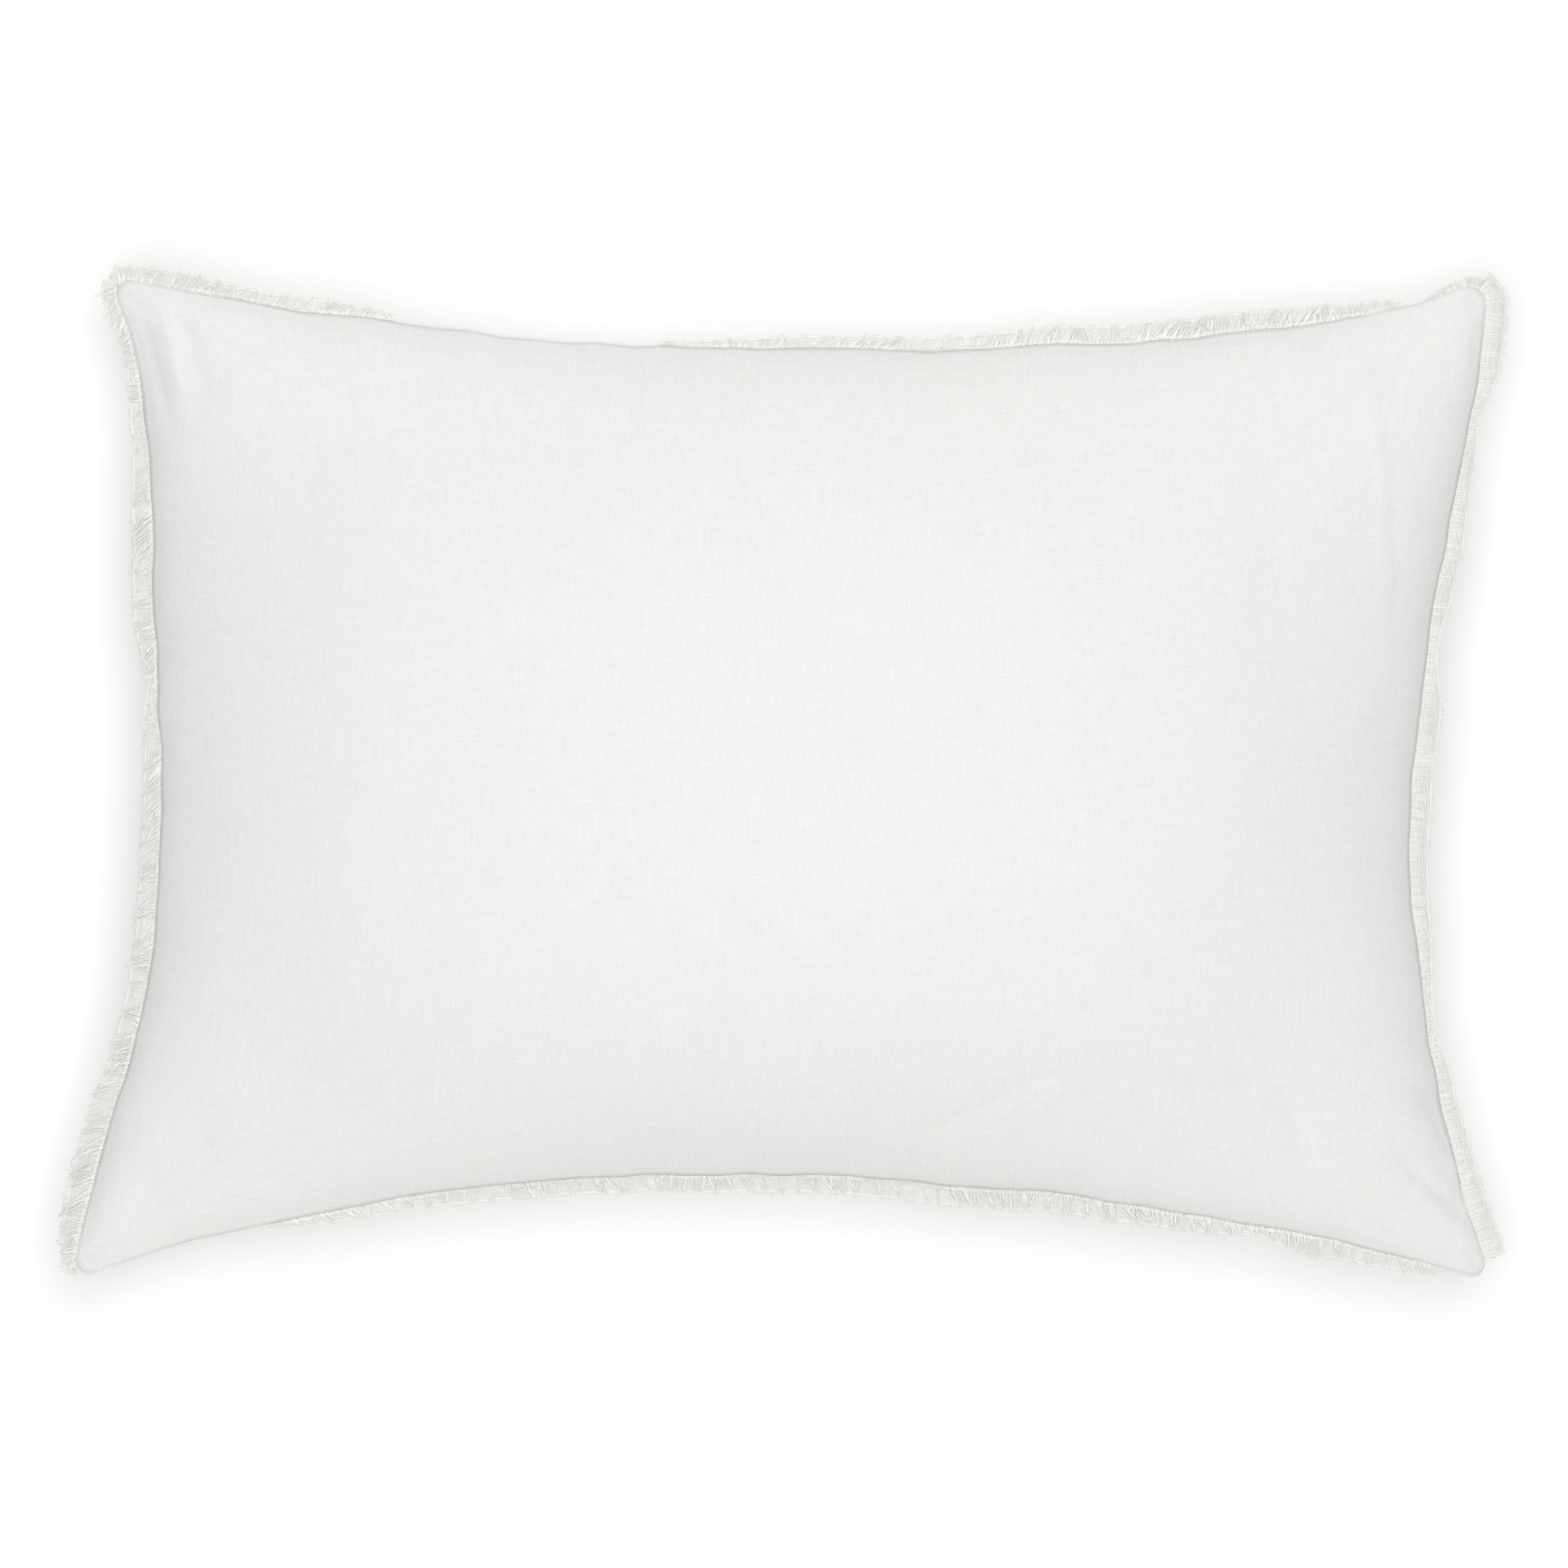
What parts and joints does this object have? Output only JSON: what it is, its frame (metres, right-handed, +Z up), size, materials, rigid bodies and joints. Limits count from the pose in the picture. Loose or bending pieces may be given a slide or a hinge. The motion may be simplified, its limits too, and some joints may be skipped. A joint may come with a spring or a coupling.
{
  "type": "bed pillow",
  "caption": "Plump rectangular bed pillow in a slubby off-white linen cover with frayed edges, closed by a zip across the back.",
  "frame": {"origin": "on the surface the pillow lies on, under the middle of its outline", "axes": "+X along the long side towards the right edge, +Y towards the top edge, +Z up out of the front panel; the zip is across the lower part of the back"},
  "size_m": [0.7078, 0.5018, 0.175],
  "materials": {
    "linen": "matte",
    "frayed_linen": "matte",
    "thread": "matte",
    "ticking": "matte",
    "fill": "matte",
    "zip_tape": "matte",
    "zip_coil": "satin",
    "zip_metal": "satin",
    "label": "satin"
  },
  "bodies": {
    "pillow": {"front_panel": "linen", "back_panel_upper": "linen", "back_panel_lower": "linen", "frayed_trim_top": "frayed_linen", "frayed_trim_bottom": "frayed_linen", "frayed_trim_left": "frayed_linen", "frayed_trim_right": "frayed_linen", "cover_closing_seam": "thread", "insert_ticking_front": "ticking", "insert_ticking_back": "ticking", "insert_fill": "fill", "insert_closing_seam": "thread", "zip_tape_upper": "zip_tape", "zip_tape_lower": "zip_tape", "zip_coil_upper": "zip_coil", "zip_coil_lower": "zip_coil", "zip_top_stop_upper": "zip_metal", "zip_top_stop_lower": "zip_metal", "zip_bottom_stop": "zip_metal", "zip_stitching_upper": "thread", "zip_stitching_lower": "thread", "care_label": "label"},
    "slider": {"zip_slider": "zip_metal"},
    "pull_tab": {"zip_pull_tab": "zip_metal"}
  },
  "joints": [
    {"name": "zip_slide", "type": "slide", "parent": "pillow", "child": "slider", "axis": [1, 0, 0], "range_m": [0, 0.382]},
    {"name": "pull_tab_hinge", "type": "hinge", "parent": "slider", "child": "pull_tab", "pos_m": [-0.191, -0.09, 0.00285], "axis": [0, 1, 0], "range_deg": [0, 180]}
  ]
}
